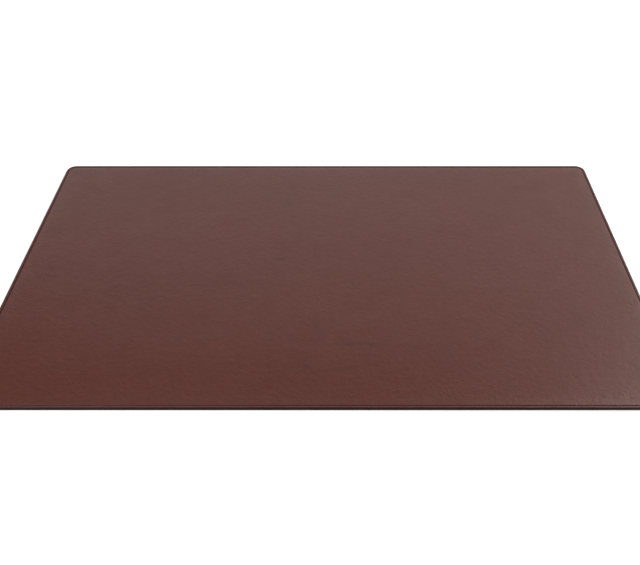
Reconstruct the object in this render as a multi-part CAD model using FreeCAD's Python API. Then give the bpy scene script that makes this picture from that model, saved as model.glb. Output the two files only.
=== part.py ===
import FreeCAD, Part
import math
import os

# A leather desk mat that lies flat on a table, in millimetres.
# X runs along the long side, Y from the user's side (-Y) to the far side, and Z is up.
# The origin is at the middle of the underside, on the table.
#
# The mat is a glued and stitched stack: a full-grain leather top, a film of adhesive, a leather-fibre
# board that keeps it flat, a second film of adhesive and a suede backing. A lockstitch seam follows
# the outline, sunk in a groove on both faces, and the cut edges are sealed with edge paint.

# ---------------------------------------------------------------- driving dimensions

MAT_WIDTH = 700.0
MAT_DEPTH = 400.0
CORNER_RADIUS = 11.0

SUEDE_THICKNESS = 0.8
ADHESIVE_THICKNESS = 0.1
CORE_THICKNESS = 1.1
LEATHER_THICKNESS = 1.4

PAINT_THICKNESS = 0.25
LEATHER_EDGE_ROUND = 0.8
SUEDE_EDGE_BEVEL = 0.3
PAINT_WRAP_ANGLE = 60.0
PAINT_BEVEL_SHARE = 0.5

STITCH_INSET = 3.0
STITCH_LENGTH = 3.95
NEEDLE_THREAD_DIAMETER = 0.4
BOBBIN_THREAD_DIAMETER = 0.35
THREAD_CLEARANCE = 0.02
THREAD_SINK = 0.03
GROOVE_MARGIN = 0.05
GLUE_SETBACK = 1.0

# ---------------------------------------------------------------- derived heights and fits

SUEDE_TOP = SUEDE_THICKNESS
CORE_BOTTOM = SUEDE_TOP + ADHESIVE_THICKNESS
CORE_TOP = CORE_BOTTOM + CORE_THICKNESS
LEATHER_BOTTOM = CORE_TOP + ADHESIVE_THICKNESS
MAT_TOP = LEATHER_BOTTOM + LEATHER_THICKNESS

NEEDLE_RADIUS = NEEDLE_THREAD_DIAMETER / 2
BOBBIN_RADIUS = BOBBIN_THREAD_DIAMETER / 2

# The two threads hook through each other in every hole, so each leg of a loop stands half a loop
# from the hole's centre, just clear of the other thread. A diamond-pointed needle cuts the hole, as a
# square that stands on its corner along the seam, and each leg stands in one corner of it.
HALF_LOOP = NEEDLE_RADIUS + BOBBIN_RADIUS + THREAD_CLEARANCE
LEG_ROOM = max(NEEDLE_RADIUS, BOBBIN_RADIUS) + THREAD_CLEARANCE
HOLE_HALF_DIAGONAL = HALF_LOOP + math.sqrt(2) * LEG_ROOM
GROOVE_HALF_WIDTH = HOLE_HALF_DIAGONAL + GROOVE_MARGIN
GLUE_INSET = STITCH_INSET + GROOVE_HALF_WIDTH + GLUE_SETBACK
HOOK_HEIGHT = (CORE_BOTTOM + CORE_TOP) / 2

NEEDLE_RUN_HEIGHT = MAT_TOP - THREAD_SINK - NEEDLE_RADIUS
BOBBIN_RUN_HEIGHT = THREAD_SINK + BOBBIN_RADIUS
TOP_GROOVE_FLOOR = NEEDLE_RUN_HEIGHT - NEEDLE_RADIUS - THREAD_CLEARANCE
BOTTOM_GROOVE_FLOOR = BOBBIN_RUN_HEIGHT + BOBBIN_RADIUS + THREAD_CLEARANCE

UP = FreeCAD.Vector(0, 0, 1)


# ---------------------------------------------------------------- outline and seam

def corner_centres():
    """Centres of the four corner arcs, anticlockwise from the front right, with each arc's first angle."""
    x = MAT_WIDTH / 2 - CORNER_RADIUS
    y = MAT_DEPTH / 2 - CORNER_RADIUS
    return [(x, -y, -90.0), (x, y, 0.0), (-x, y, 90.0), (-x, -y, 180.0)]


def on_corner(corner, inset, angle, z):
    """Point on a corner arc of the outline that lies inset inside the mat's edge."""
    x, y, first = corner
    turn = math.radians(first + angle)
    radius = CORNER_RADIUS - inset
    return FreeCAD.Vector(x + radius * math.cos(turn), y + radius * math.sin(turn), z)


def outline(inset, z):
    """Closed wire of the mat's outline, moved inwards by inset, at height z."""
    edges = []
    corners = corner_centres()
    for corner, following in zip(corners, corners[1:] + corners[:1]):
        start = on_corner(corner, inset, 0, z)
        middle = on_corner(corner, inset, 45, z)
        end = on_corner(corner, inset, 90, z)
        edges.append(Part.Arc(start, middle, end).toShape())
        edges.append(Part.LineSegment(end, on_corner(following, inset, 0, z)).toShape())
    return Part.Wire(edges)


def seam_stations():
    """(point, direction along the seam) for each stitch hole, at height 0, anticlockwise.

    Each corner has an even number of stitches, so that one hole lies on its bisector.
    """
    stations = []
    corners = corner_centres()
    arc_length = math.radians(90) * (CORNER_RADIUS - STITCH_INSET)
    on_arc = 2 * max(1, round(arc_length / (2 * STITCH_LENGTH)))
    for corner, following in zip(corners, corners[1:] + corners[:1]):
        for step in range(on_arc):
            angle = 90 * step / on_arc
            heading = math.radians(corner[2] + angle + 90)
            along = FreeCAD.Vector(math.cos(heading), math.sin(heading), 0)
            stations.append((on_corner(corner, STITCH_INSET, angle, 0), along))
        start = on_corner(corner, STITCH_INSET, 90, 0)
        side = on_corner(following, STITCH_INSET, 0, 0) - start
        on_side = max(1, round(side.Length / STITCH_LENGTH))
        along = FreeCAD.Vector(side).normalize()
        for step in range(on_side):
            stations.append((start + side * (step / on_side), along))
    return stations


# ---------------------------------------------------------------- layers

def diamond(point, along, z):
    """Outline of a stitch hole: a square on its corner, with one diagonal along the seam.

    It runs clockwise seen from above, as the edge of a hole in a face that looks up.
    """
    centre = point + UP * z
    tip = along * HOLE_HALF_DIAGONAL
    side = UP.cross(along) * HOLE_HALF_DIAGONAL
    return Part.makePolygon([centre + tip, centre - side, centre - tip, centre + side, centre + tip])


def punched_layer(stations, bottom, top):
    """Flat layer between two heights, cut to the laminate's outline, with a hole at each station."""
    face = Part.Face(outline(PAINT_THICKNESS, bottom))
    face.cutHoles([diamond(point, along, bottom) for point, along in stations])
    return face.extrude(UP * (top - bottom))


def adhesive_film(bottom):
    """Film of adhesive, kept back from the seam so that the needle stays clean."""
    return Part.Face(outline(GLUE_INSET, bottom)).extrude(UP * ADHESIVE_THICKNESS)


def groove(bottom, top):
    """Ring that the seam's groove takes out of a face, between two heights."""
    ring = Part.Face(outline(STITCH_INSET - GROOVE_HALF_WIDTH, bottom))
    ring = ring.cut(Part.Face(outline(STITCH_INSET + GROOVE_HALF_WIDTH, bottom)))
    return ring.extrude(UP * (top - bottom))


def rim_edges(layer, height):
    """Edges round the outside of the layer's flat face at one height."""
    face = next(face for face in layer.Faces
                if abs(face.BoundBox.ZMin - height) + abs(face.BoundBox.ZMax - height) < 1e-6)
    return face.OuterWire.Edges


def top_leather(stations):
    """Leather top: rounded upper rim, and the seam's groove in its grain side."""
    layer = punched_layer(stations, LEATHER_BOTTOM, MAT_TOP)
    layer = layer.makeFillet(LEATHER_EDGE_ROUND, rim_edges(layer, MAT_TOP))
    return layer.cut(groove(TOP_GROOVE_FLOOR, MAT_TOP + 1))


def suede_backing(stations):
    """Suede backing: bevelled lower rim, and the seam's groove in its underside."""
    layer = punched_layer(stations, 0, SUEDE_TOP)
    layer = layer.makeChamfer(SUEDE_EDGE_BEVEL, rim_edges(layer, 0))
    return layer.cut(groove(-1, BOTTOM_GROOVE_FLOOR))


# ---------------------------------------------------------------- threads

def thread(stations, across, run_height, into, radius):
    """Round thread of a lockstitch seam, as one solid with its two tails in the first hole.

    Between holes it runs straight at run_height. In each hole it goes down a leg, crosses under the
    other thread's loop and comes back up the other leg. The legs stand half a loop either side of the
    hole's centre, along the seam or, where across is true, square to it. into is +1 or -1, the way
    into the mat. Pulled tight, the thread turns square corners, which are drawn as mitres.
    """
    run = UP * run_height
    foot = UP * (HOOK_HEIGHT + into * HALF_LOOP / 2)
    route = []
    for point, along in stations:
        side = (UP.cross(along) if across else along) * HALF_LOOP
        route += [point - side + run, point - side + foot, point + side + foot, point + side + run]
    first_up, last_down = route[2:], route[:2]
    path = Part.makePolygon(first_up + last_down)
    section = Part.Wire([Part.makeCircle(radius, first_up[0], UP)])
    mitred = 1
    return path.makePipeShell([section], True, False, mitred)


# ---------------------------------------------------------------- edge paint

def turned_down(tip, side):
    """Quarter circle of the paint's outside, level at the tip, that turns into the outer wall.

    side is +1 at the mat's upper face and -1 at its lower one.
    """
    radius = PAINT_THICKNESS - tip.x
    centre = tip - UP * side * radius
    halfway = radius * math.sqrt(0.5)
    middle = centre + FreeCAD.Vector(halfway, 0, side * halfway)
    return Part.Arc(tip, middle, centre + FreeCAD.Vector(radius, 0, 0)).toShape()


def upper_bead_end():
    """Edges of the paint's section round the leather's rim, from the laminate's cut wall outwards.

    The section is drawn in the plane y = 0, with x measured outwards from the cut wall. The paint
    follows the rounded rim through PAINT_WRAP_ANGLE and ends square to it, level with the face.
    """
    centre = FreeCAD.Vector(-LEATHER_EDGE_ROUND, 0, MAT_TOP - LEATHER_EDGE_ROUND)
    wrap = math.radians(PAINT_WRAP_ANGLE)

    def on_rim(angle, radius):
        return centre + FreeCAD.Vector(radius * math.cos(angle), 0, radius * math.sin(angle))

    wall = on_rim(0, LEATHER_EDGE_ROUND)
    inner_end = on_rim(wrap, LEATHER_EDGE_ROUND)
    tip = on_rim(wrap, LEATHER_EDGE_ROUND / math.sin(wrap))
    return [
        Part.Arc(wall, on_rim(wrap / 2, LEATHER_EDGE_ROUND), inner_end).toShape(),
        Part.LineSegment(inner_end, tip).toShape(),
        turned_down(tip, 1),
    ]


def lower_bead_end():
    """Edges of the paint's section round the suede's bevel, from the cut wall outwards.

    The paint covers PAINT_BEVEL_SHARE of the bevel and ends square to it, level with the underside.
    """
    covered = SUEDE_EDGE_BEVEL * PAINT_BEVEL_SHARE
    bare = SUEDE_EDGE_BEVEL - covered
    wall = FreeCAD.Vector(0, 0, SUEDE_EDGE_BEVEL)
    inner_end = FreeCAD.Vector(-covered, 0, bare)
    tip = FreeCAD.Vector(bare - covered, 0, 0)
    return [
        Part.LineSegment(wall, inner_end).toShape(),
        Part.LineSegment(inner_end, tip).toShape(),
        turned_down(tip, -1),
    ]


def edge_paint():
    """Bead of paint on the cut edge, all the way round, turned a little over both rims."""
    upper = upper_bead_end()
    lower = lower_bead_end()
    wall = Part.LineSegment(lower[0].firstVertex().Point, upper[0].firstVertex().Point).toShape()
    outer = Part.LineSegment(lower[-1].lastVertex().Point, upper[-1].lastVertex().Point).toShape()
    section = Part.Face(Part.Wire(Part.__sortEdges__(upper + lower + [wall, outer])))

    stretches = []
    corners = corner_centres()
    for corner, following in zip(corners, corners[1:] + corners[:1]):
        x, y, first = corner
        placed = section.copy()
        placed.rotate(FreeCAD.Vector(0, 0, 0), UP, first)
        placed.translate(on_corner(corner, PAINT_THICKNESS, 0, 0))
        stretches.append(placed.revolve(FreeCAD.Vector(x, y, 0), UP, 90))
        placed.rotate(FreeCAD.Vector(x, y, 0), UP, 90)
        side = on_corner(following, 0, 0, 0) - on_corner(corner, 0, 90, 0)
        stretches.append(placed.extrude(side))
    return stretches[0].fuse(stretches[1:])


# ---------------------------------------------------------------- assembly

def build():
    """Each piece of the mat by its node's name."""
    stations = seam_stations()
    return {
        "top_leather": top_leather(stations),
        "upper_adhesive": adhesive_film(CORE_TOP),
        "core_board": punched_layer(stations, CORE_BOTTOM, CORE_TOP),
        "lower_adhesive": adhesive_film(SUEDE_TOP),
        "suede_backing": suede_backing(stations),
        "edge_paint": edge_paint(),
        "needle_thread": thread(stations, False, NEEDLE_RUN_HEIGHT, -1, NEEDLE_RADIUS),
        "bobbin_thread": thread(stations, True, BOBBIN_RUN_HEIGHT, 1, BOBBIN_RADIUS),
    }


def main():
    os.makedirs("parts", exist_ok=True)
    for name, shape in build().items():
        shape.exportStep("parts/" + name + ".step")
        print(name, len(shape.Solids), "solid", round(shape.Volume, 1), "mm3")


main()
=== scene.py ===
import math

import bpy
import numpy as np
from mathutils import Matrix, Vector


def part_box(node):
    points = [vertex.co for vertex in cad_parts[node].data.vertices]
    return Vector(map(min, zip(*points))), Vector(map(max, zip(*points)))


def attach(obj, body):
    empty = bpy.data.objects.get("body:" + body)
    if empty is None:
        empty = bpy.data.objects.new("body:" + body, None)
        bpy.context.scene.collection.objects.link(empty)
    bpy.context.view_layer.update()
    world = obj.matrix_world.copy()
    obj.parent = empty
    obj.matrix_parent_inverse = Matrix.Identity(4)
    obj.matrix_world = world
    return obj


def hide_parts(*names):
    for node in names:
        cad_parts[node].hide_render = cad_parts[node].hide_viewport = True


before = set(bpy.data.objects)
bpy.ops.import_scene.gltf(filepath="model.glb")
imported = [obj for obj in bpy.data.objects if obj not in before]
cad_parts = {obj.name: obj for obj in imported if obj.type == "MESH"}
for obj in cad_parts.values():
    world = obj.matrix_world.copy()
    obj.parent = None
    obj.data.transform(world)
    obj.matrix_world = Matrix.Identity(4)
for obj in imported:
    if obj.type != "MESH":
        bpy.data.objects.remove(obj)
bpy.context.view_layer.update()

MM = 0.001

# ---------------------------------------------------------------- sizes read from the frame

PAINT_LOW, PAINT_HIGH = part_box("edge_paint")
SKIN_LOW, SKIN_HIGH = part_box("top_leather")
SUEDE_LOW, SUEDE_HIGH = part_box("suede_backing")
NEEDLE_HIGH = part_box("needle_thread")[1]

HALF_WIDTH = PAINT_HIGH[0]
HALF_DEPTH = PAINT_HIGH[1]
MAT_TOP = PAINT_HIGH[2]
PAINT_THICKNESS = PAINT_HIGH[0] - SKIN_HIGH[0]

# ---------------------------------------------------------------- sizes of the making

CORNER_RADIUS = 11 * MM
LEATHER_ROUND = 0.8 * MM
SUEDE_BEVEL = 0.3 * MM
PAINT_WRAP = math.radians(60)
PAINT_WRAP_ROWS = 4
PAINT_BEVEL_SHARE = 0.5
PAINT_UNEVENNESS = 0.045
PAINT_TIP_CREEP = 0.05 * MM

STITCH_LENGTH = 3.95 * MM
NEEDLE_RADIUS = 0.2 * MM
BOBBIN_RADIUS = 0.175 * MM
THREAD_SINK = 0.03 * MM
THREAD_END_THINNING = 0.18
HOLE_TO_HOLE_SHARE = 0.94
STITCH_WOBBLE = 0.02 * MM
STITCH_LIFT = 0.012 * MM
STITCH_INSET = HALF_WIDTH - NEEDLE_HIGH[0] + NEEDLE_RADIUS

FURROW_HALF_WIDTH = 0.58 * MM
FURROW_DEPTH = 0.36 * MM
DIMPLE_DEPTH = 0.42 * MM
DIMPLE_REACH = 0.50 * MM
LIP_FALL = 0.06 * MM
PUCKER_DEPTH = 0.05 * MM
SHOULDER_DROP = 0.30 * MM
SHOULDER_REACH = 10.0 * MM
RIPPLE_HEIGHT = 0.10 * MM
RIM_STAIN_FULL = PAINT_THICKNESS + 0.35 * MM
RIM_STAIN_END = PAINT_THICKNESS + 1.1 * MM
FURROW_DULL_AND_SHADE_REACH = 0.66 * MM
POLISH_REACH = 9 * MM
RIPPLES_START = 5 * MM
RIPPLES_FULL_AFTER = 20 * MM

SUEDE_FURROW_HALF_WIDTH = 0.62 * MM
SUEDE_FURROW_DEPTH = 0.33 * MM
SUEDE_DIMPLE_DEPTH = 0.10 * MM
SUEDE_RIPPLE_HEIGHT = 0.02 * MM

COARSE_RING_INSETS = (6.4 * MM, 8.0 * MM)
FIELD_INSET = 9.5 * MM
HIDDEN_FACE_INSET = 1.2 * MM
MID_STITCH = 0.5

HALF_ARC_STITCHES = round(math.pi / 4 * (CORNER_RADIUS - STITCH_INSET) / STITCH_LENGTH)

SEED = 237

# ---------------------------------------------------------------- the seam's line


def columns(steps):
    """Feet, outward directions and beats of the columns that stand along the seam.

    The seam is a rounded rectangle, anticlockwise from the front right corner. Each corner has an
    even number of stitches and each side those that fit its length. Every stitch is split at the
    fractions in steps, and a column's beat is its fraction, 0 at the stitch hole. A point at an inset
    from the mat's edge is the foot plus the outward direction times (stitch inset - that inset).
    """
    radius = CORNER_RADIUS - STITCH_INSET
    on_arc = 2 * HALF_ARC_STITCHES
    x, y = HALF_WIDTH - CORNER_RADIUS, HALF_DEPTH - CORNER_RADIUS
    centres = np.array([(x, -y), (x, y), (-x, y), (-x, -y)])
    feet, outs, beats = [], [], []
    for corner in range(4):
        first = math.pi / 2 * (corner - 1)
        turn = (np.arange(on_arc)[:, None] + steps).ravel() / on_arc
        angle = first + turn * math.pi / 2
        out = np.stack([np.cos(angle), np.sin(angle)], 1)
        feet.append(centres[corner] + radius * out)
        outs.append(out)
        beats.append(np.tile(steps, on_arc))

        last = first + math.pi / 2
        side_out = np.array([math.cos(last), math.sin(last)])
        start = centres[corner] + radius * side_out
        side = centres[(corner + 1) % 4] - centres[corner]
        on_side = round(float(np.linalg.norm(side)) / STITCH_LENGTH)
        along = (np.arange(on_side)[:, None] + steps).ravel()[:, None] / on_side
        feet.append(start + side * along)
        outs.append(np.tile(side_out, (len(along), 1)))
        beats.append(np.tile(steps, on_side))
    return np.concatenate(feet), np.concatenate(outs), np.concatenate(beats)


def ripples(x, y, seed, longest, shortest, count=14):
    """A smooth random height from -1 to 1 or so: a sum of cosine waves of random heading and phase."""
    draw = np.random.default_rng(seed)
    total = np.zeros_like(x)
    for _ in range(count):
        length = shortest * (longest / shortest) ** draw.random()
        heading = draw.random() * 2 * math.pi
        phase = draw.random() * 2 * math.pi
        across = x * math.cos(heading) + y * math.sin(heading)
        total += np.cos(across * 2 * math.pi / length + phase)
    return total / math.sqrt(count)


# ---------------------------------------------------------------- meshes


def finished(name, points, faces, material, replaced, slot, inset=None, uv=None):
    """A smooth-shaded mesh piece that rides on the mat and stands for the CAD nodes it replaces."""
    mesh = bpy.data.meshes.new(name)
    mesh.from_pydata(points.tolist(), [], faces)
    mesh.polygons.foreach_set("use_smooth", np.ones(len(mesh.polygons), bool))
    if inset is not None:
        mesh.attributes.new("inset", "FLOAT", "POINT").data.foreach_set("value", inset)
    if uv is not None:
        corners = np.empty(len(mesh.loops), int)
        mesh.loops.foreach_get("vertex_index", corners)
        mesh.uv_layers.new(name="thread").data.foreach_set("uv", uv[corners].ravel())
    mesh.materials.append(material)
    mesh.update()
    piece = bpy.data.objects.new(name, mesh)
    bpy.context.scene.collection.objects.link(piece)
    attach(piece, "root")
    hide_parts(*replaced)
    return piece


def ring_quads(rings, count):
    """Quads between successive closed rings of count points each, numbered ring after ring."""
    here = np.arange(count)
    onward = (here + 1) % count
    low = (np.arange(rings - 1) * count)[:, None]
    quads = np.stack([low + here, low + onward, low + onward + count, low + here + count], -1)
    return quads.reshape(-1, 4)


def fan(fine_start, coarse_start, coarse_count, split):
    """Triangles between a ring of coarse_count * split points and one of coarse_count points."""
    step = np.arange(coarse_count)
    coarse = coarse_start + step
    coarse_next = coarse_start + (step + 1) % coarse_count
    fine_count = coarse_count * split
    parts = []
    for part in range(split):
        here = fine_start + step * split + part
        onward = fine_start + (step * split + part + 1) % fine_count
        apex = coarse if part < split // 2 else coarse_next
        parts.append(np.stack([here, onward, apex], 1))
    middle = fine_start + step * split + split // 2
    parts.append(np.stack([middle, coarse_next, coarse], 1))
    return np.concatenate(parts)


def field_lines(straight_end, edge, on_side):
    """Grid lines across the field: evenly along the straight side, and half a corner's more beyond."""
    straight = np.linspace(-straight_end, straight_end, on_side + 1)
    beyond = np.linspace(straight_end, edge, HALF_ARC_STITCHES + 1)[1:]
    return np.concatenate([-beyond[::-1], straight, beyond])


def faced_sheet(section, hidden_height, steps, height):
    """Points, faces and insets of a closed sheet with a worked face, stitched round its rim.

    section lists the insets of the full-detail rings, from the cut wall inwards, and height(inset,
    beat, x, y) is the worked face's height at a point. The rings follow the seam, a fan of triangles
    brings them down to one column a stitch, and a grid of one cell a stitch fills the field. The
    hidden face is flat.
    """
    feet, outs, beats = columns(steps)
    split, count = len(steps), len(feet)
    coarse = slice(None, None, split)
    stitches = count // split

    def ring(inset, rows=slice(None)):
        return feet[rows] + outs[rows] * (STITCH_INSET - inset)

    points, insets = [], []

    def add(flat, heights, inset):
        points.append(np.column_stack([flat, heights]))
        insets.append(np.full(len(flat), inset) if np.isscalar(inset) else inset)

    wall = ring(PAINT_THICKNESS)
    add(wall, np.full(count, hidden_height), PAINT_THICKNESS)
    for inset in section:
        flat = ring(inset)
        add(flat, height(np.full(count, inset), beats, flat[:, 0], flat[:, 1]), inset)
    fine_rings = len(points)
    for inset in COARSE_RING_INSETS:
        flat = ring(inset, coarse)
        away = np.full(stitches, MID_STITCH)
        add(flat, height(np.full(stitches, inset), away, flat[:, 0], flat[:, 1]), inset)

    ends = HALF_WIDTH - CORNER_RADIUS, HALF_DEPTH - CORNER_RADIUS
    sides = [round(2 * end / STITCH_LENGTH) for end in ends]
    across = field_lines(ends[0], HALF_WIDTH - FIELD_INSET, sides[0])
    down = field_lines(ends[1], HALF_DEPTH - FIELD_INSET, sides[1])
    x, y = (axis.ravel() for axis in np.meshgrid(across, down, indexing="ij"))
    field_insets = np.minimum(HALF_WIDTH - abs(x), HALF_DEPTH - abs(y))
    add(np.stack([x, y], 1), height(field_insets, np.full(len(x), MID_STITCH), x, y), field_insets)
    add(ring(HIDDEN_FACE_INSET, coarse), np.full(stitches, hidden_height), HIDDEN_FACE_INSET)

    first_coarse = fine_rings * count
    first_field = first_coarse + len(COARSE_RING_INSETS) * stitches
    first_hidden = first_field + len(x)
    nx, ny = len(across) - 1, len(down) - 1
    number = first_field + np.arange(len(x)).reshape(nx + 1, ny + 1)
    cells = np.stack([number[:-1, :-1], number[1:, :-1], number[1:, 1:], number[:-1, 1:]], -1)
    border = np.concatenate([number[-1, :-1], number[:0:-1, -1], number[0, :0:-1], number[:-1, 0]])
    border = np.roll(border, HALF_ARC_STITCHES)
    last_ring = first_coarse + stitches + np.arange(stitches)
    join = np.stack([last_ring, np.roll(last_ring, -1), np.roll(border, -1), border], 1)
    hidden = first_hidden + np.arange(stitches)

    faces = ring_quads(fine_rings, count).tolist()
    faces += fan((fine_rings - 1) * count, first_coarse, stitches, split).tolist()
    faces += (first_coarse + ring_quads(2, stitches)).tolist()
    faces += join.tolist() + cells.reshape(-1, 4).tolist()
    faces += fan(0, first_hidden, stitches, split)[:, ::-1].tolist()
    faces.append(hidden[::-1].tolist())
    return np.concatenate(points), faces, np.concatenate(insets)


# ---------------------------------------------------------------- leather and suede


def rim(inset, radius):
    """How far a rounded rim of the given radius has dropped below its face: a quarter circle."""
    into = np.clip((PAINT_THICKNESS + radius - inset) / radius, 0, 1)
    return radius * (1 - np.sqrt(np.maximum(1 - into * into, 0)))


def furrow(inset, beat, half_width, depth, dimple):
    """Depth of the stitched furrow: a rounded channel, with a dimple at each stitch hole.

    The channel is exp(-(distance / half width) ^ 4), shallower in the middle of a stitch, and the
    dimple is a round bell about the hole.
    """
    across = (inset - STITCH_INSET) / half_width
    along = np.minimum(beat, 1 - beat) * STITCH_LENGTH
    channel = depth * (1 - 0.14 * np.sin(np.pi * beat)) * np.exp(-across ** 4)
    from_hole = ((inset - STITCH_INSET) ** 2 + along ** 2) / DIMPLE_REACH ** 2
    return channel + dimple * np.exp(-from_hole)


def ripple_share(inset):
    """How much of the ripples there is: none by the seam, all of them well inside it."""
    return np.clip((inset - RIPPLES_START) / RIPPLES_FULL_AFTER, 0, 1)


def leather_height(inset, beat, x, y):
    """Height of the leather's face: rounded rim, crowned lip, furrow, soft shoulder, faint ripples."""
    lip_start = PAINT_THICKNESS + LEATHER_ROUND
    lip_end = STITCH_INSET - FURROW_HALF_WIDTH
    on_lip = np.clip((inset - lip_start) / (lip_end - lip_start), 0, 1)
    lip_fall = LIP_FALL * (1 - on_lip) ** 2 * (inset < lip_end)
    inside = np.maximum(inset - STITCH_INSET, 0)
    shoulder = SHOULDER_DROP * np.exp(-inside / SHOULDER_REACH) * (inset > STITCH_INSET)
    puckered = PUCKER_DEPTH * (1 + np.cos(2 * np.pi * beat)) * np.exp(-((inset - STITCH_INSET) / MM) ** 2)
    fade = ripple_share(inset)
    wave = ripples(x, y, SEED, 0.30, 0.06) + 0.35 * ripples(x, y, SEED + 1, 0.06, 0.02)
    pressed = furrow(inset, beat, FURROW_HALF_WIDTH, FURROW_DEPTH, DIMPLE_DEPTH)
    face = MAT_TOP - rim(inset, LEATHER_ROUND) - lip_fall - shoulder - puckered - pressed
    return face + RIPPLE_HEIGHT * (np.tanh(wave) - 1) * fade


def suede_height(inset, beat, x, y):
    """Height of the backing's underside: bevelled rim and a furrow with a dimple at each hole."""
    pressed = furrow(inset, beat, SUEDE_FURROW_HALF_WIDTH, SUEDE_FURROW_DEPTH, SUEDE_DIMPLE_DEPTH)
    fade = ripple_share(inset)
    wave = SUEDE_RIPPLE_HEIGHT * (1 + np.tanh(ripples(x, y, SEED + 2, 0.10, 0.02))) * fade
    bevel = np.clip(PAINT_THICKNESS + SUEDE_BEVEL - inset, 0, SUEDE_BEVEL)
    return SUEDE_LOW[2] + bevel + pressed + wave


def leather_top(material):
    """The leather, from its cut wall over the rounded rim, the lip and the furrow into the field."""
    turn = np.radians([0, 30, 60, 90])
    bevel = PAINT_THICKNESS + LEATHER_ROUND * (1 - np.cos(turn))
    bands = np.array([1.6, 2.1, 2.4, 2.6, 2.8, 3.0, 3.2, 3.4, 3.6, 3.9, 4.5, 5.4]) * MM
    steps = np.array([0, 0.10, 0.24, 0.5, 0.76, 0.90])
    shape = faced_sheet([*bevel, *bands], SKIN_LOW[2], steps, leather_height)
    piece = finished("leather_skin", *shape[:2], material, ["top_leather"], "grain_leather", shape[2])
    return piece


def suede_under(material):
    """The suede backing, worked on its underside."""
    bevel = PAINT_THICKNESS + SUEDE_BEVEL * np.array([0, 0.5, 1])
    bands = np.array([1.4, 2.2, 2.6, 3.0, 3.4, 3.8, 4.6, 5.4]) * MM
    steps = np.array([0, 0.18, 0.5, 0.82])
    points, faces, insets = faced_sheet([*bevel, *bands], SUEDE_HIGH[2], steps, suede_height)
    faces = [face[::-1] for face in faces]
    piece = finished("suede_lining", points, faces, material, ["suede_backing"], "suede", insets)
    return piece


# ---------------------------------------------------------------- edge paint


def turned_down(tip):
    """Quarter circle of the paint's outside, from its tip, level there, down into the outer wall."""
    radius = PAINT_THICKNESS - tip[0]
    turn = np.linspace(math.pi / 2, 0, 7)
    return np.stack([tip[0] + radius * np.cos(turn), tip[1] + radius * (np.sin(turn) - 1)], 1)


def upper_bead():
    """Half of the bead's section: rows of (outward distance from the laminate's wall, height).

    The paint follows the rounded rim through the wrap angle and ends square to it at the tip, level
    with the leather's face.
    """
    wrap = np.linspace(0, PAINT_WRAP, PAINT_WRAP_ROWS)
    rim_centre = MAT_TOP - LEATHER_ROUND
    on_rim = np.stack([LEATHER_ROUND * (np.cos(wrap) - 1), rim_centre + LEATHER_ROUND * np.sin(wrap)], 1)
    tip = (LEATHER_ROUND / math.tan(PAINT_WRAP) - LEATHER_ROUND, MAT_TOP)
    return np.concatenate([on_rim, turned_down(tip)])


def lower_bead():
    """The other half, from the outer wall to the laminate's: it covers part of the suede's bevel."""
    covered = SUEDE_BEVEL * PAINT_BEVEL_SHARE
    bare = SUEDE_BEVEL - covered
    outside = turned_down((bare - covered, 0))
    on_bevel = np.array([(0, -SUEDE_BEVEL), (-covered, -bare)])
    half = np.concatenate([on_bevel, outside])[::-1]
    return np.stack([half[:, 0], PAINT_LOW[2] - half[:, 1]], 1)


def edge_bead(material):
    """The painted edge: the bead's section carried round the outline, a little uneven as brushed.

    The unevenness of the thickness and of the tip's place are each a sum of 24 cosine waves round the
    outline, divided by 3 to bring it to about -1 to 1.
    """
    section = np.concatenate([upper_bead(), lower_bead()])
    steps = np.array([0, 0.5])
    feet, outs, _ = columns(steps)
    count, rows = len(feet), len(section)

    travel = np.cumsum(np.linalg.norm(feet - np.roll(feet, 1, 0), axis=1))
    turn = travel / travel[-1] * 2 * math.pi
    draw = np.random.default_rng(SEED + 3)
    thick, creep = np.zeros(count), np.zeros(count)
    for _ in range(24):
        thick += np.cos(turn * draw.integers(8, 260) + draw.random() * 7)
        creep += np.cos(turn * draw.integers(20, 420) + draw.random() * 7)
    swell = 1 - PAINT_UNEVENNESS * np.abs(thick) / 3
    creep = PAINT_TIP_CREEP * creep / 3

    outward = section[:, :1]
    tip = np.arange(rows)[:, None] == PAINT_WRAP_ROWS
    reach = np.where(outward > 0, outward * swell, outward) - np.where(tip, np.abs(creep), 0)
    flat = feet + outs * (STITCH_INSET - PAINT_THICKNESS + reach[..., None])
    heights = np.broadcast_to(section[:, 1:2], (rows, count))
    points = np.concatenate([flat, heights[..., None]], -1).reshape(-1, 3)
    quads = ring_quads(rows, count)
    here = np.arange(count)
    onward = (here + 1) % count
    close = np.stack([(rows - 1) * count + here, (rows - 1) * count + onward, onward, here], 1)
    faces = np.concatenate([quads, close]).tolist()
    return finished("edge_paint_bead", points, faces, material, ["edge_paint"], "edge_paint")


# ---------------------------------------------------------------- threads


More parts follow.
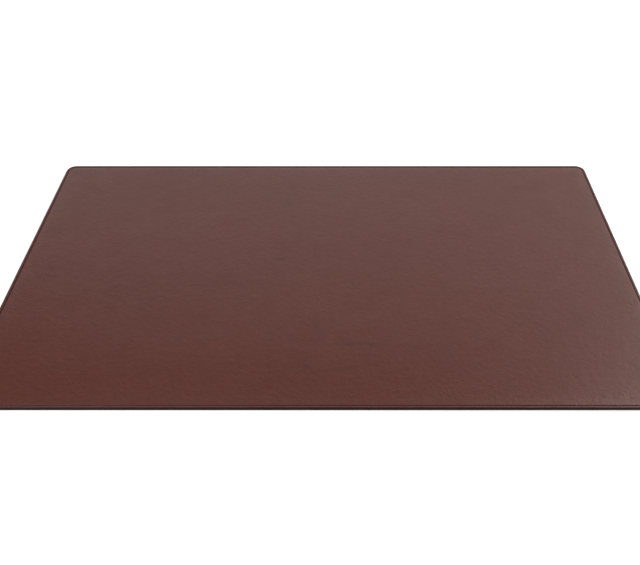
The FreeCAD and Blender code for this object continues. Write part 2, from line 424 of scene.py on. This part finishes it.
def seam_thread(name, material, replaced, radius, run, into, dive, lean, seed):
    """The stitches of one thread as closed lengths that dip into the stitch holes at both ends.

    Along a stitch, with w from -1 to 1, the middle line runs straight at the height run and sinks by
    dive * |w| ^ 6 towards each hole: upwards where into is 1, downwards where it is -1. lean is how
    far it slants from one side of the hole to the other. The section is a hexagon that narrows a
    little at the ends. u of the UV map is the distance along the thread and v the turn round it.
    """
    feet, outs, _ = columns(np.array([0.0]))
    ends = np.roll(feet, -1, 0)
    chord = ends - feet
    length = np.linalg.norm(chord, axis=1, keepdims=True)
    along = chord / length
    side = np.stack([along[:, 1], -along[:, 0]], 1)
    count = len(feet)
    draw = np.random.default_rng(seed)
    wobble = draw.normal(0, STITCH_WOBBLE, (count, 2))
    lift = draw.normal(0, STITCH_LIFT, count)

    sections, sides = 9, 6
    w = np.sin(np.linspace(-1, 1, sections) * math.pi / 2)
    reach = MID_STITCH + HOLE_TO_HOLE_SHARE / 2 * w
    sink = dive * np.abs(w) ** 6
    onward_run = np.full(sections, HOLE_TO_HOLE_SHARE / 2 * STITCH_LENGTH)
    slope = np.stack([onward_run, 6 * dive * np.abs(w) ** 5 * np.sign(w)], 1)
    slope /= np.linalg.norm(slope, axis=1, keepdims=True)
    thin = radius * (1 - THREAD_END_THINNING * np.abs(w) ** 4)
    turn = np.arange(sides) * 2 * math.pi / sides

    sideways = lean * w[None, :] + np.where(w[None, :] < 0, wobble[:, :1], wobble[:, 1:])
    middle = feet[:, None] + chord[:, None] * reach[None, :, None] + side[:, None] * sideways[..., None]
    depth = run + into * sink[None, :] - into * lift[:, None] * (1 - w[None, :] ** 2)
    ring_side = np.cos(turn)[None, :] * thin[:, None]
    ring_rise = np.sin(turn)[None, :] * thin[:, None]
    flat = (middle[:, :, None]
            + side[:, None, None] * ring_side[None, ..., None]
            - along[:, None, None] * (into * ring_rise * slope[:, 1:2])[None, ..., None])
    high = depth[:, :, None] + (ring_rise * slope[:, 0:1])[None]
    points = np.concatenate([flat, high[..., None]], -1).reshape(-1, 3)
    distance = (np.arange(count)[:, None] + reach[None, :]) * STITCH_LENGTH / MM
    round_it = np.broadcast_to(turn / (2 * math.pi), (count, sections, sides))
    uv = np.stack([np.broadcast_to(distance[..., None], round_it.shape), round_it], -1).reshape(-1, 2)

    here = np.arange(sides)
    onward = (here + 1) % sides
    low = (np.arange(sections - 1) * sides)[:, None]
    skin = np.stack([low + here, low + here + sides, low + onward + sides, low + onward], -1)
    first = (np.arange(count) * sections * sides)[:, None, None]
    quads = (first + skin.reshape(1, -1, 4)).reshape(-1, 4)
    near = (first[:, 0] + here).reshape(-1, sides)
    far = (first[:, 0] + here[::-1] + (sections - 1) * sides).reshape(-1, sides)
    faces = quads.tolist() + near.tolist() + far.tolist()
    return finished(name, points, faces, material, [replaced], "thread", uv=uv)


# ---------------------------------------------------------------- shader building


def node(tree, kind, inputs=None, **settings):
    """A new node of a tree; an input is given as a value, or as another node's output to join."""
    made = tree.nodes.new(kind)
    for key, value in settings.items():
        setattr(made, key, value)
    for key, value in (inputs or {}).items():
        if isinstance(value, bpy.types.NodeSocket):
            tree.links.new(value, made.inputs[key])
        else:
            made.inputs[key].default_value = value
    return made


def maths(tree, operation, *values):
    """A Math node's result."""
    return node(tree, "ShaderNodeMath", dict(enumerate(values)), operation=operation).outputs[0]


def step_up(tree, value, start, end, low=0.0, high=1.0):
    """value brought from start..end to low..high with a smooth step."""
    inputs = {"Value": value, "From Min": start, "From Max": end, "To Min": low, "To Max": high}
    made = node(tree, "ShaderNodeMapRange", inputs, interpolation_type="SMOOTHSTEP")
    return made.outputs["Result"]


def bell(tree, value, centre, width):
    """exp(-((value - centre) / width) ^ 2)."""
    away = maths(tree, "DIVIDE", maths(tree, "SUBTRACT", value, centre), width)
    power = maths(tree, "MULTIPLY", maths(tree, "MULTIPLY", away, away), -1.0)
    return maths(tree, "EXPONENT", power)


def mixed(tree, share, first, second):
    """Two colours mixed by share: sockets 6, 7 and 2 are a Mix node's colour inputs and its result."""
    made = node(tree, "ShaderNodeMix", {0: share, 6: first, 7: second}, data_type="RGBA")
    return made.outputs[2]


def stained(tree, under, mask, strength, stain):
    """The colour under, brought towards stain by the mask times the strength."""
    return mixed(tree, maths(tree, "MULTIPLY", mask, strength), under, stain)


def raised_by(tree, base, *layers):
    """A base value with each (mask, amount) layer's product added to it."""
    total = base
    for mask, amount in layers:
        total = maths(tree, "ADD", total, maths(tree, "MULTIPLY", mask, amount))
    return total


def vector_maths(tree, operation, first, second=None):
    """A Vector Math node."""
    inputs = {0: first} if second is None else {0: first, 1: second}
    return node(tree, "ShaderNodeVectorMath", inputs, operation=operation)


def noise(tree, where, scale, detail=3.0, roughness=0.5):
    """Value of a noise texture."""
    inputs = {"Vector": where, "Scale": scale, "Detail": detail, "Roughness": roughness}
    return node(tree, "ShaderNodeTexNoise", inputs).outputs["Fac"]


def effect(name, inputs, outputs, build):
    """A shader node group: build(tree, entering sockets) returns the outputs' sockets in order."""
    tree = bpy.data.node_groups.new(name, "ShaderNodeTree")
    for label, kind, value in inputs:
        made = tree.interface.new_socket(label, in_out="INPUT", socket_type=kind)
        if value is not None:
            made.default_value = value
    for label in outputs:
        tree.interface.new_socket(label, in_out="OUTPUT", socket_type="NodeSocketFloat")
    enter, leave = tree.nodes.new("NodeGroupInput"), tree.nodes.new("NodeGroupOutput")
    for index, socket in enumerate(build(tree, enter.outputs)):
        tree.links.new(socket, leave.inputs[index])
    return tree


def use(tree, built, **inputs):
    """An effect placed in a material; returns its outputs."""
    made = tree.nodes.new("ShaderNodeGroup")
    made.node_tree = built
    for key, value in inputs.items():
        socket = made.inputs[key.replace("_", " ")]
        if isinstance(value, bpy.types.NodeSocket):
            tree.links.new(value, socket)
        else:
            socket.default_value = value
    return made.outputs


# ---------------------------------------------------------------- effects

LAY_LENGTH_MM = 1.6
PLIES = 3


def build_grain(tree, enter):
    """Leather grain: cells with creases between them, a finer net of creases, and scattered pores."""
    where, scale = enter["Vector"], enter["Cells per metre"]
    loose = node(tree, "ShaderNodeTexNoise", {"Vector": where, "Scale": maths(tree, "MULTIPLY", scale, 0.5)})
    pull = vector_maths(tree, "SUBTRACT", loose.outputs["Color"], (0.5, 0.5, 0.5))
    by = vector_maths(tree, "SCALE", pull.outputs[0])
    tree.links.new(maths(tree, "DIVIDE", 1.1, scale), by.inputs["Scale"])
    bent = vector_maths(tree, "ADD", where, by.outputs[0]).outputs[0]
    crease = []
    for finer in (1.0, 2.3):
        inputs = {"Vector": bent, "Scale": maths(tree, "MULTIPLY", scale, finer)}
        cells = node(tree, "ShaderNodeTexVoronoi", inputs, feature="DISTANCE_TO_EDGE")
        crease.append(step_up(tree, cells.outputs["Distance"], 0.0, 0.16))
    inputs = {"Vector": where, "Scale": maths(tree, "MULTIPLY", scale, 0.55)}
    dots = node(tree, "ShaderNodeTexVoronoi", inputs)
    pore = step_up(tree, dots.outputs["Distance"], 0.05, 0.16, 1.0, 0.0)
    raised = raised_by(tree, maths(tree, "MULTIPLY", crease[0], 0.62), (crease[1], 0.38))
    height = maths(tree, "SUBTRACT", raised, maths(tree, "MULTIPLY", pore, 0.7))
    plateau = node(tree, "ShaderNodeTexVoronoi", {"Vector": bent, "Scale": scale})
    tone = node(tree, "ShaderNodeSeparateColor", {0: plateau.outputs["Color"]}).outputs[0]
    return height, tone, pore


def build_clouds(tree, enter):
    """Uneven dye: soft clouds, patches inside them, mottling and fine flecks, each from 0 to 1."""
    where, scale = enter["Vector"], enter["Clouds per metre"]
    wide = noise(tree, where, scale, 3.0, 0.5)
    patch = noise(tree, where, maths(tree, "MULTIPLY", scale, 6.0), 4.0, 0.55)
    mottle = noise(tree, where, maths(tree, "MULTIPLY", scale, 26.0), 2.0, 0.5)
    fleck = noise(tree, where, maths(tree, "MULTIPLY", scale, 70.0), 3.0, 0.6)
    return tuple(step_up(tree, value, 0.3, 0.7) for value in (wide, patch, mottle, fleck))


def build_outline_masks(tree, enter):
    """Masks that follow the outline: the stained rim, the furrow, which is dulled and darkened as painted
    shade, and the polish inside the furrow.

    The furrow's mask is a bell about the stitch inset. The polish is exp(-(inset - stitch inset) /
    its reach), left by the tool that pressed the furrow.
    """
    inset = enter["Inset"]
    edge = step_up(tree, inset, RIM_STAIN_FULL, RIM_STAIN_END, 1.0, 0.0)
    seam = bell(tree, inset, STITCH_INSET, FURROW_DULL_AND_SHADE_REACH)
    inside = maths(tree, "MULTIPLY", maths(tree, "SUBTRACT", inset, STITCH_INSET), -1 / POLISH_REACH)
    return edge, seam, maths(tree, "EXPONENT", inside)


def build_nap(tree, enter):
    """Raised fibres: short streaks along a slowly turning lay, and brushed patches."""
    where, scale = enter["Vector"], enter["Fibres per metre"]
    lay = noise(tree, where, maths(tree, "MULTIPLY", scale, 0.02), 2.0)
    inputs = {"Vector": where, "Angle": maths(tree, "MULTIPLY", lay, 5.0)}
    turn = node(tree, "ShaderNodeVectorRotate", inputs, rotation_type="Z_AXIS").outputs[0]
    drawn = node(tree, "ShaderNodeMapping", {"Vector": turn, "Scale": (0.28, 1.0, 1.0)}).outputs[0]
    fibre = noise(tree, drawn, scale, 4.0, 0.65)
    felt = noise(tree, where, maths(tree, "MULTIPLY", scale, 0.35), 3.0, 0.6)
    height = raised_by(tree, maths(tree, "MULTIPLY", fibre, 0.6), (felt, 0.4))
    brushed = step_up(tree, lay, 0.35, 0.65)
    return height, fibre, brushed


def build_ply(tree, enter):
    """Twisted thread: three plies that wind round it once every lay length, with fibres along them.

    The vector is the thread's UV: X the distance along it in millimetres, Y the turn round it.
    """
    apart = node(tree, "ShaderNodeSeparateXYZ", {0: enter["Vector"]})
    lays = maths(tree, "MULTIPLY", apart.outputs["X"], 1 / LAY_LENGTH_MM)
    wound = maths(tree, "ADD", lays, apart.outputs["Y"])
    phase = maths(tree, "MULTIPLY", wound, PLIES * 2 * math.pi)
    ply = maths(tree, "ABSOLUTE", maths(tree, "SINE", maths(tree, "MULTIPLY", phase, 0.5)))
    fibre = noise(tree, enter["Vector"], 9.0, 3.0, 0.6)
    height = raised_by(tree, ply, (fibre, 0.25))
    return height, ply, fibre


VECTOR = ("Vector", "NodeSocketVector", None)
GRAIN = effect("leather grain", [VECTOR, ("Cells per metre", "NodeSocketFloat", 1800.0)],
               ["Height", "Tone", "Pore"], build_grain)
CLOUDS = effect("dye clouds", [VECTOR, ("Clouds per metre", "NodeSocketFloat", 8.0)],
                ["Wide", "Patch", "Mottle", "Fleck"], build_clouds)
OUTLINE_MASKS = effect("outline masks", [("Inset", "NodeSocketFloat", 0.1)],
                 ["Edge", "Seam", "Polish"], build_outline_masks)
NAP = effect("raised nap", [VECTOR, ("Fibres per metre", "NodeSocketFloat", 5000.0)],
             ["Height", "Fibre", "Brushed"], build_nap)
PLY = effect("twisted ply", [VECTOR], ["Height", "Ply", "Fibre"], build_ply)


# ---------------------------------------------------------------- materials


def surface(name, roughness=0.5, **plain):
    """A material with only its Principled shader, which the constant values in plain are set on."""
    material = bpy.data.materials.new(name)
    material.use_nodes = True
    tree = material.node_tree
    shader = tree.nodes["Principled BSDF"]
    shader.inputs["Roughness"].default_value = roughness
    for key, value in plain.items():
        shader.inputs[key.replace("_", " ")].default_value = value
    where = tree.nodes.new("ShaderNodeTexCoord").outputs["Object"]
    return material, tree, shader, where


def bumped(tree, shader, *layers):
    """Bump in the shader's normal, from (height, distance in metres) layers one over another."""
    under = None
    for height, distance in layers:
        made = node(tree, "ShaderNodeBump", {"Height": height, "Strength": 1.0, "Distance": distance})
        if under is not None:
            tree.links.new(under, made.inputs["Normal"])
        under = made.outputs["Normal"]
    tree.links.new(under, shader.inputs["Normal"])


def colour(red, green, blue):
    """An opaque colour from linear parts."""
    return (red, green, blue, 1.0)


def oval_mask(tree, where, centre, half_length, half_width, heading):
    """A soft oval mark on the face: 1 at its centre, falling off as exp(-(distance in ovals) ^ 2)."""
    inputs = {"Vector": where, "Location": (*centre, 0), "Rotation": (0, 0, math.radians(heading)),
              "Scale": (half_length, half_width, 1.0)}
    local = node(tree, "ShaderNodeMapping", inputs, vector_type="TEXTURE").outputs[0]
    flat = vector_maths(tree, "MULTIPLY", local, (1, 1, 0)).outputs[0]
    away = vector_maths(tree, "LENGTH", flat).outputs["Value"]
    return bell(tree, away, 0.0, 1.0)


# Painted shade for faint dull spots, darker colour in place of weaker sheen: each spot's centre, half length
# and half width in metres, its heading in degrees and its strength.
PAINTED_DULL_SPOT_SHADE = [
    ((-0.051, 0.0105), 0.0060, 0.0034, 0, 0.61),
    ((0.034, -0.1200), 0.0320, 0.0022, 0, 0.40),
    ((0.016, -0.1541), 0.0210, 0.0022, 3, 0.31),
    ((-0.016, -0.1500), 0.0060, 0.0060, 0, 0.22),
    ((0.274, -0.0863), 0.0080, 0.0110, 0, 0.29),
    ((0.335, -0.0600), 0.0150, 0.0040, 0, 0.25),
    ((-0.318, -0.0199), 0.0170, 0.0040, 8, 0.29),
    ((-0.332, 0.0700), 0.0080, 0.0090, 60, 0.23),
    ((-0.008, -0.0900), 0.0060, 0.0100, 30, 0.20),
    ((-0.020, 0.1750), 0.2200, 0.0080, 0, 0.09),
]


def painted_dull_spot_shade(tree, where):
    """One mask of painted shade for all the faint dull spots: the strongest spot at each point."""
    marks = None
    for centre, half_length, half_width, heading, strength in PAINTED_DULL_SPOT_SHADE:
        oval = oval_mask(tree, where, centre, half_length, half_width, heading)
        mark = maths(tree, "MULTIPLY", oval, strength)
        marks = mark if marks is None else maths(tree, "MAXIMUM", marks, mark)
    return marks


def brown_leather():
    """Smooth full-grain leather, dyed through and waxed: dull and dark at the rim, dull in the furrow with
    painted shade darkening it, and painted shade at faint dull spots.
    """
    material, tree, shader, where = surface("brown_leather", IOR=1.46)
    inset = node(tree, "ShaderNodeAttribute", attribute_name="inset").outputs["Fac"]
    clouds = use(tree, CLOUDS, Vector=where, Clouds_per_metre=7.0)
    grain = use(tree, GRAIN, Vector=where, Cells_per_metre=1700.0)
    rim_and_furrow = use(tree, OUTLINE_MASKS, Inset=inset)

    tint = mixed(tree, clouds["Wide"], colour(0.0765, 0.0146, 0.0076), colour(0.0835, 0.0166, 0.0088))
    tint = stained(tree, tint, clouds["Patch"], 0.36, colour(0.0690, 0.0126, 0.0064))
    tint = stained(tree, tint, grain["Pore"], 0.35, colour(0.040, 0.009, 0.005))
    tint = stained(tree, tint, clouds["Mottle"], 0.26, colour(0.058, 0.0100, 0.0050))
    tint = stained(tree, tint, clouds["Fleck"], 0.16, colour(0.104, 0.027, 0.016))
    # Painted shade: the faint dull spots darken the colour in place of their weaker sheen.
    tint = mixed(tree, painted_dull_spot_shade(tree, where), tint, colour(0.040, 0.0070, 0.0038))
    # Painted shade: the furrow's colour is darkened where its walls shade it.
    tint = stained(tree, tint, rim_and_furrow["Seam"], 0.7, colour(0.050, 0.0095, 0.0050))
    tint = stained(tree, tint, rim_and_furrow["Edge"], 0.75, colour(0.022, 0.0060, 0.0045))
    tree.links.new(tint, shader.inputs["Base Color"])

    rough = raised_by(tree, 0.31, (clouds["Patch"], 0.05), (clouds["Mottle"], 0.05), (grain["Tone"], 0.05),
                      (rim_and_furrow["Seam"], 0.3))
    tree.links.new(rough, shader.inputs["Roughness"])
    shine = raised_by(tree, 0.5, (rim_and_furrow["Polish"], 0.2))
    dulled = maths(tree, "MAXIMUM", rim_and_furrow["Seam"], maths(tree, "MULTIPLY", rim_and_furrow["Edge"], 0.6))
    kept = maths(tree, "SUBTRACT", 1.0, maths(tree, "MULTIPLY", dulled, 0.95))
    tree.links.new(maths(tree, "MULTIPLY", shine, kept), shader.inputs["Specular IOR Level"])
    bumped(tree, shader, (clouds["Mottle"], 0.09 * MM), (clouds["Fleck"], 0.05 * MM),
           (grain["Height"], 0.025 * MM))
    return material


def napped_suede():
    """The backing's suede: short brushed fibres, paler where the nap stands up."""
    material, tree, shader, where = surface("napped_suede", roughness=0.95, IOR=1.4, Sheen_Weight=0.35,
                                            Sheen_Roughness=0.45, Sheen_Tint=colour(0.55, 0.36, 0.26))
    nap = use(tree, NAP, Vector=where, Fibres_per_metre=4200.0)
    clouds = use(tree, CLOUDS, Vector=where, Clouds_per_metre=9.0)
    tint = mixed(tree, nap["Brushed"], colour(0.085, 0.038, 0.021), colour(0.128, 0.062, 0.036))
    tint = stained(tree, tint, nap["Fibre"], 0.5, colour(0.170, 0.090, 0.055))
    tint = stained(tree, tint, clouds["Patch"], 0.30, colour(0.075, 0.033, 0.018))
    tree.links.new(tint, shader.inputs["Base Color"])
    bumped(tree, shader, (nap["Brushed"], 0.20 * MM), (nap["Height"], 0.22 * MM))
    return material


def sealed_edge():
    """Edge paint: nearly black brown, satin, slightly mottled, with a fine brushed roughness."""
    material, tree, shader, where = surface("sealed_edge", Specular_IOR_Level=0.10)
    clouds = use(tree, CLOUDS, Vector=where, Clouds_per_metre=30.0)
    drag = noise(tree, where, 900.0, 4.0, 0.6)
    tint = mixed(tree, clouds["Patch"], colour(0.0130, 0.0042, 0.0040), colour(0.0180, 0.0060, 0.0056))
    tint = stained(tree, tint, clouds["Fleck"], 0.25, colour(0.028, 0.010, 0.0085))
    tree.links.new(tint, shader.inputs["Base Color"])
    tree.links.new(raised_by(tree, 0.48, (clouds["Fleck"], 0.14)), shader.inputs["Roughness"])
    bumped(tree, shader, (clouds["Fleck"], 0.04 * MM), (drag, 0.03 * MM))
    return material


def waxed_thread():
    """Tonal waxed thread, with painted shade darkening its plies where they meet."""
    material, tree, shader, _ = surface("waxed_thread", roughness=0.75, Specular_IOR_Level=0.15)
    flat = node(tree, "ShaderNodeUVMap", uv_map="thread").outputs["UV"]
    ply = use(tree, PLY, Vector=flat)
    # Painted shade: the colour darkens in the grooves where the plies meet.
    tint = mixed(tree, ply["Ply"], colour(0.024, 0.0052, 0.0030), colour(0.064, 0.0140, 0.0080))
    tint = stained(tree, tint, ply["Fibre"], 0.25, colour(0.085, 0.026, 0.017))
    tree.links.new(tint, shader.inputs["Base Color"])
    bumped(tree, shader, (ply["Height"], 0.06 * MM))
    return material


def fibre_board():
    """Leather-fibre board: pressed shavings in browns, matt."""
    material, tree, shader, where = surface("fibre_board", roughness=0.85, IOR=1.45)
    nap = use(tree, NAP, Vector=where, Fibres_per_metre=2600.0)
    clouds = use(tree, CLOUDS, Vector=where, Clouds_per_metre=20.0)
    tint = mixed(tree, nap["Fibre"], colour(0.13, 0.065, 0.030), colour(0.30, 0.175, 0.090))
    tint = stained(tree, tint, clouds["Fleck"], 0.4, colour(0.20, 0.10, 0.05))
    tree.links.new(tint, shader.inputs["Base Color"])
    bumped(tree, shader, (nap["Height"], 0.08 * MM))
    return material


def dried_cement():
    """Contact cement: an amber film, uneven where it was combed on."""
    material, tree, shader, where = surface("dried_cement", IOR=1.5)
    clouds = use(tree, CLOUDS, Vector=where, Clouds_per_metre=45.0)
    tint = mixed(tree, clouds["Patch"], colour(0.36, 0.25, 0.11), colour(0.52, 0.40, 0.22))
    tree.links.new(tint, shader.inputs["Base Color"])
    tree.links.new(step_up(tree, clouds["Fleck"], 0.0, 1.0, 0.45, 0.75), shader.inputs["Roughness"])
    bumped(tree, shader, (clouds["Fleck"], 0.05 * MM))
    return material


# ---------------------------------------------------------------- the mat


def build_mat():
    """The worked pieces of the mat, and materials for the three layers that are kept as they are."""
    leather_top(brown_leather())
    suede_under(napped_suede())
    edge_bead(sealed_edge())
    thread = waxed_thread()
    seam_thread("needle_stitches", thread, "needle_thread", NEEDLE_RADIUS, seed=SEED + 4,
                run=MAT_TOP - THREAD_SINK - NEEDLE_RADIUS, into=-1, dive=0.75 * MM, lean=0.10 * MM)
    seam_thread("bobbin_stitches", thread, "bobbin_thread", BOBBIN_RADIUS, seed=SEED + 5,
                run=SUEDE_LOW[2] + THREAD_SINK + BOBBIN_RADIUS, into=1, dive=0.45 * MM, lean=0.30 * MM)
    board, cement = fibre_board(), dried_cement()
    for name, material in (("core_board", board), ("upper_adhesive", cement), ("lower_adhesive", cement)):
        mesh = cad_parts[name].data
        mesh.materials.clear()
        mesh.materials.append(material)


# ---------------------------------------------------------------- stage


# Each softbox's place, width and height in metres, and its power in watts. All face the mat's middle.
SOFTBOXES = {
    "user_side_softbox": ((-0.5, -1.6, 1.9), 1.4, 1.0, 25),
    "left_softbox": ((-1.6, -0.6, 1.6), 1.0, 0.8, 22),
    "right_softbox": ((2.0, 0.54, 1.2), 1.0, 0.8, 56),
    "far_left_low_strip": ((-1.4, 2.54, 0.54), 1.4, 0.45, 6),
    "far_low_strip": ((0, 2.54, 0.54), 1.4, 0.45, 8),
    "far_right_strip": ((1.4, 2.32, 1.18), 1.4, 0.45, 4),
    "far_high_strip": ((0.05, 1.93, 1.74), 4.2, 0.45, 17),
}
ROOM_GLOW = 0.01
TABLE_REACH = 6.0
TABLE_GAP = 0.02 * MM


def softbox(name, place, width, height, power):
    """A rectangular area light at place, facing the mat's middle."""
    light = bpy.data.lights.new(name, "AREA")
    light.shape = "RECTANGLE"
    light.size, light.size_y = width, height
    light.energy = power
    lamp = bpy.data.objects.new(name, light)
    lamp.location = place
    lamp.rotation_euler = (Vector((0, 0, 0)) - Vector(place)).to_track_quat("-Z", "Y").to_euler()
    bpy.context.scene.collection.objects.link(lamp)


def white_table():
    """A large white table top just under the mat."""
    under = PAINT_LOW[2] - TABLE_GAP
    points = [(x * TABLE_REACH, y * TABLE_REACH, under) for x, y in ((-1, -1), (1, -1), (1, 1), (-1, 1))]
    mesh = bpy.data.meshes.new("table_top")
    mesh.from_pydata(points, [], [(0, 1, 2, 3)])
    material, _, shader, _ = surface("white_table", roughness=0.9, Base_Color=colour(0.90, 0.90, 0.90),
                                     Specular_IOR_Level=0.0, Emission_Color=colour(1, 1, 1),
                                     Emission_Strength=0.35)
    mesh.materials.append(material)
    table = bpy.data.objects.new("table_top", mesh)
    bpy.context.scene.collection.objects.link(table)


def stage_light():
    """The softboxes, in a room that looks white to the camera and hardly lights the mat."""
    scene = bpy.context.scene
    scene.world = bpy.data.worlds.new("studio")
    scene.world.use_nodes = True
    tree = scene.world.node_tree
    background = tree.nodes["Background"]
    background.inputs["Color"].default_value = colour(1, 1, 1)
    seen = node(tree, "ShaderNodeLightPath").outputs["Is Camera Ray"]
    tree.links.new(maths(tree, "MAXIMUM", ROOM_GLOW, seen), background.inputs["Strength"])
    for name, facts in SOFTBOXES.items():
        softbox(name, *facts)
    scene.view_settings.view_transform = "Standard"


def camera():
    """The view from above the user's side, looking along +Y and 44 degrees down."""
    data = bpy.data.cameras.new("view")
    data.sensor_width = 36.0
    data.lens = 38.857
    data.shift_x = -0.02826
    data.clip_start, data.clip_end = 0.01, 50
    eye = bpy.data.objects.new("view", data)
    eye.location = (0.0167, -0.5875, 0.5433)
    eye.rotation_euler = (math.radians(45.982), 0, 0)
    bpy.context.scene.collection.objects.link(eye)
    bpy.context.scene.camera = eye


build_mat()
white_table()
stage_light()
camera()
